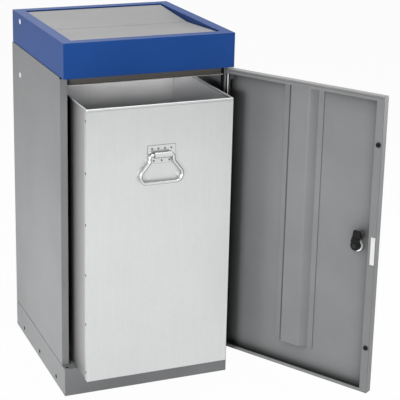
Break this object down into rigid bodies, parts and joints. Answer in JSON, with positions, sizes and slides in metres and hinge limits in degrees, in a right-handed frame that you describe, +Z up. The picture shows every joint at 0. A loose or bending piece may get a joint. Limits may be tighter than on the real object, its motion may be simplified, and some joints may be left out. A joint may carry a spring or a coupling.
{
  "type": "recycling bin",
  "caption": "Sheet steel recycling cabinet with a swing flap in a blue hood, a side hinged lockable door and a pull-out galvanised bin with a bail handle.",
  "frame": {"origin": "middle of the plinth's footprint, on the floor; the row is stored as pictured, with the door 121 degrees open and the bin pulled out 76 mm past the front", "axes": "+Z up, front of the cabinet towards -Y, right hand side (hinge side) towards +X"},
  "size_m": [0.6025, 0.7532, 0.82],
  "materials": {
    "paint_grey": "fine textured powder coat",
    "paint_dark": "fine textured powder coat",
    "black_steel": "black oxide",
    "paint_blue": "satin powder coat",
    "flap_grey": "satin powder coat",
    "zinc": "bright zinc plate",
    "white_plastic": "moulded",
    "bearing_plastic": "moulded",
    "black_rubber": "matt",
    "black_plastic": "moulded, slight sheen",
    "galvanised": "galvanised, faint spangle",
    "bright_steel": "plated",
    "dark_steel": "dull"
  },
  "bodies": {
    "cabinet": {"plinth": "paint_grey", "floor_panel": "paint_grey", "side_panel_left": "paint_grey", "side_panel_right": "paint_grey", "back_panel": "paint_grey", "front_crossbar": "paint_dark", "rear_crossbar": "paint_grey", "hood": "paint_blue", "hood_screws": "zinc", "hood_nuts": "zinc", "blanking_plugs": "white_plastic", "spare_hole_plugs": "black_plastic", "pivot_bushes": "bearing_plastic", "hinge_bushes": "bearing_plastic"},
    "flap": {"flap_panel": "flap_grey", "flap_pins": "zinc", "flap_hangers": "flap_grey", "balance_bar": "flap_grey"},
    "door": {"door_pan": "paint_grey", "door_stiffener": "paint_grey", "door_pin_blocks": "paint_grey", "door_hinge_pins": "zinc", "lock_barrel": "zinc", "lock_ring_nut": "zinc", "door_buffers": "black_rubber"},
    "lock": {"lock_core": "zinc", "lock_cam": "black_plastic", "cam_screw": "black_steel"},
    "bin": {"bin_front": "galvanised", "bin_wrap": "galvanised", "bin_bottom": "galvanised", "bin_rim": "galvanised", "bin_rivets": "dark_steel", "handle_plate": "bright_steel", "handle_rivets": "dark_steel"},
    "handle": {"bail": "bright_steel"}
  },
  "joints": [
    {"name": "door_swing", "type": "hinge", "parent": "cabinet", "child": "door", "pos_m": [0.1925, -0.202, 0.4], "axis": [0, 0, 1], "range_deg": [-121, 55]},
    {"name": "bin_slide", "type": "slide", "parent": "cabinet", "child": "bin", "axis": [0, -1, 0], "range_m": [-0.1425, 0.06483]},
    {"name": "flap_swing", "type": "hinge", "parent": "cabinet", "child": "flap", "pos_m": [0, 0, 0.8005], "axis": [1, 0, 0], "range_deg": [-35, 35]},
    {"name": "bail_swing", "type": "hinge", "parent": "bin", "child": "handle", "pos_m": [-0.0025, -0.2942, 0.5815], "axis": [-1, 0, 0], "range_deg": [0, 40]},
    {"name": "cam_turn", "type": "hinge", "parent": "door", "child": "lock", "pos_m": [0.37524, -0.4906, 0.401], "axis": [0.8572, 0.515, 0], "range_deg": [0, 90]}
  ],
  "couplings": [
    {"joint": "bin_slide", "follows": "door_swing", "m_per_rad": 0.067429}
  ]
}
